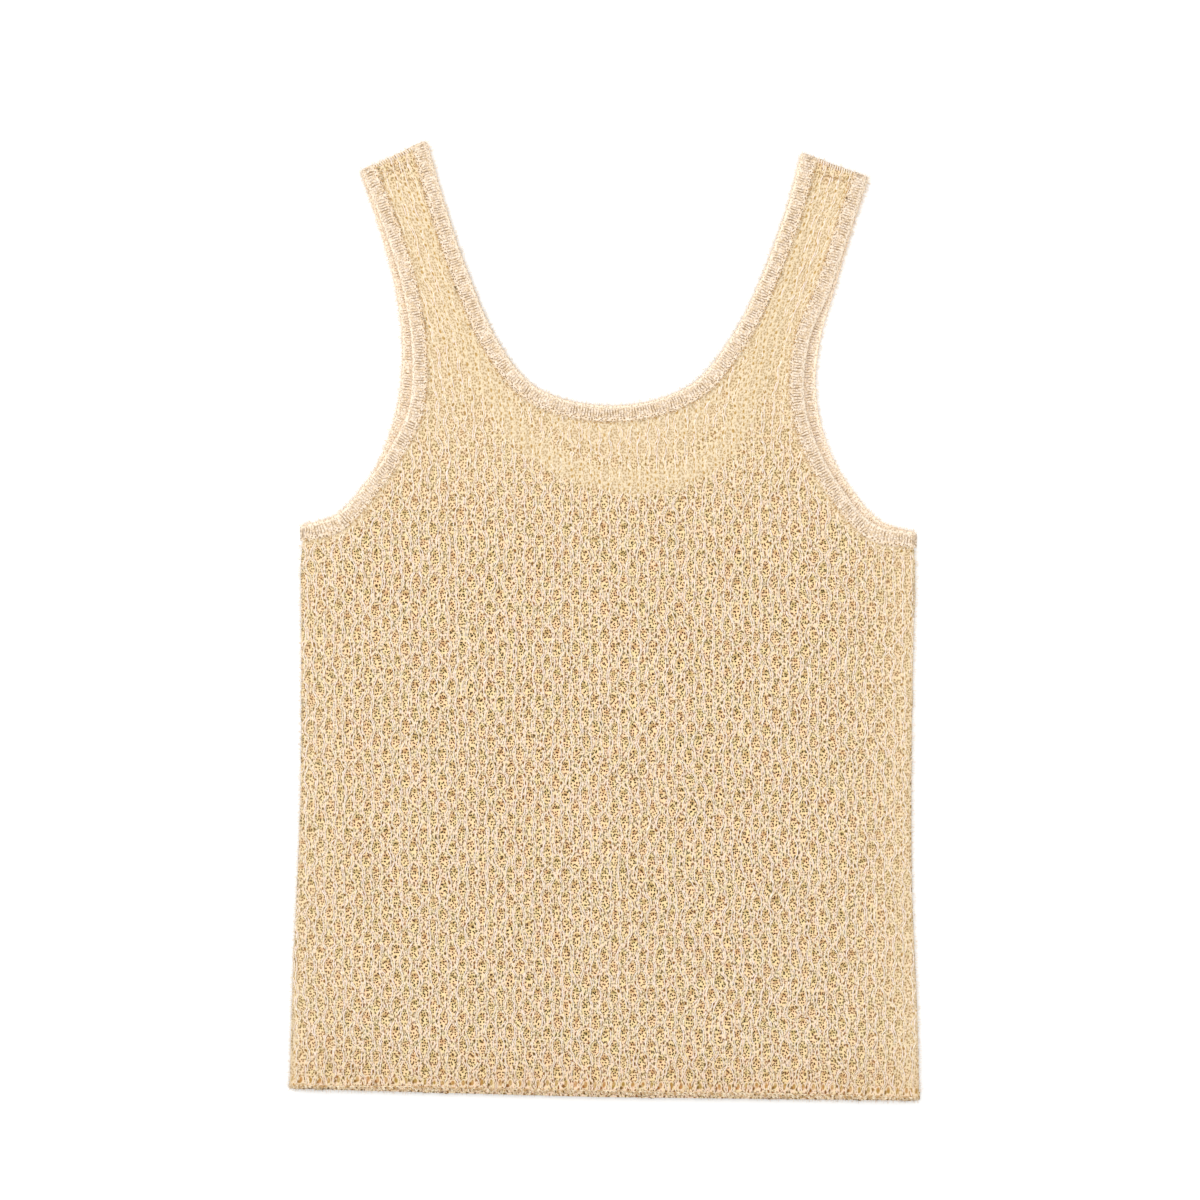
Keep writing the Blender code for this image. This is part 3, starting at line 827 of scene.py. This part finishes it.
def band(name, node, runs, width, flip, material):
    """A rib strip as a ring: along the upper layer, over a fold, and back along the lower."""
    cover = Cover(node, 1).tree
    across = np.array(ACROSS) * width / ACROSS[-1]
    rows, ribs = [], []
    for k, (edge, along, ways) in enumerate(runs):
        length = along[-1] - 2 * FOLD_REACH
        count = round(length / RIB_PITCH)
        at = FOLD_REACH + np.linspace(0, length, count * RIB_STEPS + 1)
        at = at[::-1] if k else at
        spots = at_lengths(at, along, edge)
        into = unit(at_lengths(at, along, ways))
        made = []
        for i, (spot, inward) in enumerate(zip(spots, into)):
            flat = spot + across[:, None] * inward
            scallop = np.sin(2 * np.pi * i / RIB_STEPS) ** 2 * rng.uniform(*EDGE_UNEVEN)
            flat[:3] -= EDGE_SCALLOP * scallop * inward
            heights = np.full(len(flat), LEVELS[k])
            if not k:
                for j, (x, y) in enumerate(flat):
                    below = Vector((x * MM, y * MM, INNER_LOOK[0] * MM))
                    hit = cover.ray_cast(below, Vector((0, 0, 1)))[0]
                    if hit and hit.z < INNER_LOOK[1] * MM:
                        heights[j] = hit.z / MM
            made.append(np.column_stack([flat, heights]))
        made[0][:, 2] = made[-1][:, 2] = LEVELS[k]
        rows += made
        ribs += list(len(ribs) / RIB_STEPS + np.arange(len(made)) / RIB_STEPS)
        out = unit(edge[0] - edge[1]) if k else unit(edge[-1] - edge[-2])
        for turn in np.radians(FOLD_TURNS):
            bent = made[-1].copy()
            bent[:, :2] += FOLD_RADIUS * np.sin(turn) * out
            bent[:, 2] = np.interp(np.cos(turn), (-1, 1), (LEVELS[1 - k], LEVELS[k]))
            rows.append(bent)
            ribs.append(0.25 + turn / np.pi)
    rows.append(rows[0])
    ribs.append(0.0)
    rows, ribs = np.array(rows), np.array(ribs)
    share = np.tile(across / width, (len(rows), 1))
    sunk = valley(ribs[:, None] + RIB_LEAN * (share - 0.5), share)
    varied = rng.uniform(*RIB_VARIES, (len(rows) // RIB_STEPS + 1, 1)).repeat(RIB_STEPS, 0)
    sunk = np.clip(sunk * varied[: len(rows)], 0, 1)
    wall = RIB_WALLS[1] + (RIB_WALLS[0] - RIB_WALLS[1]) * sunk
    inset = np.clip(across / EDGE_ROUND, 0, 1)
    wall = wall * np.sqrt(np.clip(1 - (1 - inset) ** 2, EDGE_LEAST**2, 1))
    bm = bmesh.new()
    bmesh.ops.create_grid(bm, x_segments=len(across) - 1, y_segments=len(rows) - 1, size=0.5)
    depth = bm.verts.layers.deform.verify()
    stitch = bm.verts.layers.float_vector.new("stitch")
    counts = np.repeat(ribs, len(across))
    inward = np.tile(across, len(rows))
    facts = zip(rows.reshape(-1, 3), wall.ravel(), counts, inward, sunk.ravel())
    for vertex, (point, thickness, *place) in zip(list(bm.verts), facts):
        vertex.co = Vector(point) * MM
        vertex[depth][0] = thickness / RIB_WALLS[1]
        vertex[stitch] = place
    bmesh.ops.remove_doubles(bm, verts=bm.verts, dist=0.001 * MM)
    if flip:
        bmesh.ops.reverse_faces(bm, faces=bm.faces)
    mesh = mesh_of(bm, name)
    mesh.shade_smooth()
    piece = placed(name, mesh, material)
    piece.vertex_groups.new(name="thickness")
    solid = piece.modifiers.new("wall", "SOLIDIFY")
    solid.thickness = RIB_WALLS[1] * MM
    solid.offset = 1.0
    solid.vertex_group = "thickness"
    return piece


LINK_PITCH = 1.65  # from one stitch to the next
LINK_SPANS = (-1.3, -0.5, 0.4, 1.3)  # a stitch's points, from the seam towards the panel
LINK_RISES = (-0.45, 0.1, 0.05, -0.5)  # over the surface there
LINK_LEAN = 0.28  # how far each leans to one side, and the next to the other
LINK_STRAYS = (0.14, 0.4)  # how far each lies off its place, and what share of that up or down
LINK_YARN = 0.42
SEAM_STRAND = (0.15, 0.3)  # the strand that the stitches lock: past the strip, and its depth


def links(name, run, width, covers, material):
    """The stitches that join a strip to its panel, across the seam of its shown run."""
    edge, along, ways = run
    stitches, locked = [], []
    for i, at in enumerate(np.arange(FOLD_REACH / 2, along[-1] - FOLD_REACH / 2, LINK_PITCH)):
        spot = at_lengths(at, along, edge)
        inward = unit(at_lengths(at, along, ways))
        aside = np.array((-inward[1], inward[0])) * (LINK_LEAN if i % 2 else -LINK_LEAN)
        stray = rng.normal(0, LINK_STRAYS[0], 3)
        stitch = []
        for span, rise in zip(LINK_SPANS, LINK_RISES):
            x, y = (spot + (width + span + stray[0]) * inward + (span + stray[1]) * aside) * MM
            heights = [cover.level(x, y) for cover in covers]
            level = max([height for height in heights if height is not None], default=None)
            if level is not None:
                stitch.append((x, y, level + (rise + LINK_STRAYS[1] * stray[2]) * MM))
        if len(stitch) > 2:
            stitches.append(np.array(stitch))
        x, y = (spot + (width + SEAM_STRAND[0]) * inward) * MM
        beside = [(x + step * inward[0], y + step * inward[1]) for step in (-MM, MM)]
        heights = [cover.level(*place) for cover in covers for place in beside]
        heights = [height for height in heights if height is not None]
        if heights:
            locked.append((x, y, min(heights) - SEAM_STRAND[1] * MM))
    return yarn_mesh(name, [*stitches, np.array(locked)], LINK_YARN, material)


# The same cotton in a close rib: smoother and paler than the net. The gap between two strands
# is painted as a fine dark line of shade, deeper towards the seam, and as dots of painted shade
# where the stitches were picked up.
RIB_STITCH = 1.3  # from one stitch of a rib to the next, across the strip
GAP_HALF = (0.05, 0.14)  # half a gap's width, in ribs: where it is darkest, and in all
GAP_REACH = (0.6, 3.6)  # the gaps start and are full at these distances in from the opening
PICKED_UP = (6.6, 8.4)  # from here on they break up into dots
DOT_EDGE = (0.18, 0.38)  # a dot's dark and its end, as radii in stitches
DOTS_SHOW = (0.45, 0.85)  # how dark dots are: before that, and from there on
LINES_LEFT = 0.25  # and what is left of the lines
RIB_SWAY = (0.5, 2.0)  # how far the lines stray along the strip, in ribs, and across, in millimetres
GAP_SHOWS = (0.16, 0.8)  # how dark the palest and the darkest gaps are
RIM = (0.4, 2.4)  # the cast-off edge is painted paler up to here, as painted light that lifts the shade on its rounded wall
RIM_PALE = 0.8
EDGE_TURN = (0.2, 1.0)  # and its very edge, where the wall turns down, takes a warmer cloth tone as painted shade
RIB_SWAY_SIZE = 3.125
RIB_STRENGTH = 4.16667  # from a dark stretch of gaps to a pale one
RIB_SLUB = 1.428571
rib_yarn, tree, shader = new_material("cotton_rib")
found = add_chain(tree, (
    ("place", "object place"),
    ("stitch", "mesh stitch"),
    ("sway", "stray", "place", 1 / RIB_SWAY_SIZE / MM, 1.0),
    ("sway", "stretch", "sway", (*RIB_SWAY, 0.0), (-RIB_SWAY[0] / 2, -RIB_SWAY[1] / 2, 0.0)),
    ("strayed", "shift", "stitch", "sway"),
    ("rib", "x", "strayed"),
    ("inward", "y", "strayed"),
    ("beside", "pingpong", "rib", 0.25),
    ("gap", "ease", "beside", *GAP_HALF, 1.0, 0.0),
    ("reach", "ease", "inward", *GAP_REACH),
    ("gap", "multiply", "gap", "reach"),
    ("strength", "noise", "place", 1 / RIB_STRENGTH / MM, 2.0),
    ("strength", "range", "strength", 0.36, 0.6, *GAP_SHOWS),
    ("gap", "multiply", "gap", "strength"),
    ("dots", "stretch", "stitch", (2.0, 1.0 / RIB_STITCH, 0.0)),
    ("dots", "spots", "dots", 1.0, 0.9),
    ("dots", "ease", "dots", *DOT_EDGE, 1.0, 0.0),
    ("picked", "ease", "inward", *PICKED_UP),
    ("faint", "range", "picked", 0.0, 1.0, *DOTS_SHOW),
    ("dots", "multiply", "dots", "faint"),
    ("rest", "range", "picked", 0.0, 1.0, 1.0, LINES_LEFT),
    ("gap", "multiply", "gap", "rest"),
    ("gap", "maximum", "gap", "dots"),
    ("slub", "noise", "place", 1 / RIB_SLUB / MM, 3.0),
    ("slub", "range", "slub", 0.36, 0.6),
    ("rim", "ease", "inward", *RIM, RIM_PALE, 0.0),
    ("edge", "y", "stitch"),
    ("edge", "ease", "edge", *EDGE_TURN, 1.0, 0.0),
    ("tint", "mix", "slub", "e4caa6", "f6e4d0"),
    ("tint", "mix", "rim", "tint", "f8e9d4"),
    ("tint", "mix", "edge", "tint", "f6dfc2"),
    ("tint", "mix", "gap", "tint", "74501c"),
))
tree.links.new(found["tint"], shader.inputs["Base Color"])
shader.inputs["Roughness"].default_value = 0.9
bump = add_node(tree, "Bump", {"invert": True}, Strength=0.5, Distance=0.5 * MM, Height=found["gap"])
tree.links.new(bump.outputs[0], shader.inputs["Normal"])

TO_NECK_LEFT = way(*SHOULDER_LEFT)
TO_NECK_RIGHT = way(*SHOULDER_RIGHT)
neck_runs = [run_of(spots, -1, -TO_NECK_LEFT, -TO_NECK_RIGHT) for spots in (NECK_UPPER, NECK_LOWER)]
neck_band = band("neck_rib", "neck_band", neck_runs, NECK_BAND, False, rib_yarn)
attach(neck_band, "root")
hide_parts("neck_band")
# The links take the darker cast-off yarn, as painted shade in the seam.
neck_links = links("neck_links", neck_runs[0], NECK_BAND, (front_cover, Cover("neck_band", 1)), hem_yarn)
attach(neck_links, "root")

# ---- armhole bands
# A like strip round each armhole. The hidden layer's run lies a little further out, so it
# shows as a second edge beside the strap.

ARM_BAND = 9.5
ARM_LEFT_UPPER = (
    (-150.5, 277.4), (-136.5, 242.0), (-125.2, 206.0), (-119.2, 168.0), (-120.8, 132.0),
    (-132.0, 107.0), (-149.0, 82.5), (-166.0, 64.5), (-187.6, 58.2),
)
ARM_LEFT_LOWER = (
    (-150.5, 277.4), (-137.6, 238.0), (-129.4, 207.0), (-124.9, 172.0), (-127.2, 136.0),
    (-138.0, 100.5), (-152.0, 77.5), (-167.0, 63.5), (-187.6, 58.2),
)
ARM_RIGHT_UPPER = (
    (162.8, 273.3), (150.4, 236.0), (139.2, 202.5), (127.2, 174.0), (123.4, 140.0),
    (130.6, 110.0), (146.8, 81.0), (166.5, 59.5), (192.4, 53.9),
)
ARM_RIGHT_LOWER = (
    (162.8, 273.3), (151.0, 236.0), (141.5, 203.0), (132.8, 172.0), (130.4, 140.0),
    (138.0, 106.5), (153.4, 79.5), (170.5, 61.0), (192.4, 53.9),
)
DOWN = np.array((0.0, -1.0))
arm_edges = []
for side, turn, first_way, upper, lower in (
    ("left", 1, TO_NECK_LEFT, ARM_LEFT_UPPER, ARM_LEFT_LOWER),
    ("right", -1, TO_NECK_RIGHT, ARM_RIGHT_UPPER, ARM_RIGHT_LOWER),
):
    runs = [run_of(spots, turn, first_way, DOWN) for spots in (upper, lower)]
    node = "armhole_band_" + side
    arm_edges += [edge for edge, _, _ in runs]
    piece = band("armhole_rib_" + side, node, runs, ARM_BAND, side == "left", rib_yarn)
    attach(piece, "root")
    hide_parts(node)
    # The links take the darker cast-off yarn, as painted shade in the seam.
    arm_links = links("armhole_links_" + side, runs[0], ARM_BAND, (front_cover, Cover(node, 1)), hem_yarn)
    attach(arm_links, "root")

# ---- stray fibres
# Loose ends of the cotton's short fibres, which stand out all along the outline and give the
# top its soft edge. They are spun into the yarn.

FIBRE_PITCH = 0.56  # along the outline
FIBRE_REACH = (0.7, 3.0)  # how far it stands out
FIBRE_ROOT = 0.6  # and how far in from the outline it starts
FIBRE_RADIUS = 0.1
FIBRE_LEVELS = (0.8, 4.0)  # its height above the floor
FIBRE_RISE = 0.6  # how far its tip strays up or down
FIBRE_LOWEST = 0.3
FIBRE_SPREAD = 0.6  # how far it turns from straight out, in radians
SIDE_STEP = 8.0  # the sides are followed in these steps, up to a height
SIDE_TOP = 50.0
BESIDE = 250.0  # a place well beside the top
DEEP_BELOW = (6.5, -900.0)  # a spot that is on the cloth's side of the whole neck edge


def outward_of(spots, cloth):
    """Points every FIBRE_PITCH along a line, each with the way out from the cloth."""
    spots = np.array(spots)
    along = lengths_along(spots)
    spots = at_lengths(np.arange(0, along[-1], FIBRE_PITCH), along, spots)
    ahead = unit(np.gradient(spots, axis=0))
    out = np.stack([-ahead[:, 1], ahead[:, 0]], axis=1)
    return spots, out * np.sign(((spots - np.array(cloth)) * out).sum(1).mean())


lines = [SHOULDER_LEFT, SHOULDER_RIGHT, [(-HEM_WIDTH / 2, HEM_HEIGHTS[0]), (HEM_WIDTH / 2, HEM_HEIGHTS[1])]]
for side in (-1, 1):
    heights = np.arange(HEM_HEIGHTS[1] + SIDE_STEP, SIDE_TOP, SIDE_STEP) * MM
    lines.append([np.array(front_cover.beside(side * BESIDE * MM, y)) / MM for y in heights])
outlines = [outward_of(line, (0.0, 0.0)) for line in lines]
outlines.append(outward_of(neck_runs[0][0], DEEP_BELOW))
outlines += [outward_of(edge, (0.0, 120.0)) for edge in arm_edges]
fibres = []
for spots, out in outlines:
    for (x, y), (right, up) in zip(spots, out):
        angle = rng.normal(0, FIBRE_SPREAD)
        reach = rng.uniform(*FIBRE_REACH)
        level = rng.uniform(*FIBRE_LEVELS)
        root = (x - FIBRE_ROOT * right, y - FIBRE_ROOT * up, level)
        x += reach * (right * np.cos(angle) - up * np.sin(angle))
        y += reach * (right * np.sin(angle) + up * np.cos(angle))
        tip = (x, y, max(level + rng.normal(0, FIBRE_RISE), FIBRE_LOWEST))
        fibres.append(np.array([root, tip]) * MM)
fuzz = yarn_mesh("outline_fibres", fibres, FIBRE_RADIUS, ridge_yarn)
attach(fuzz, "root")
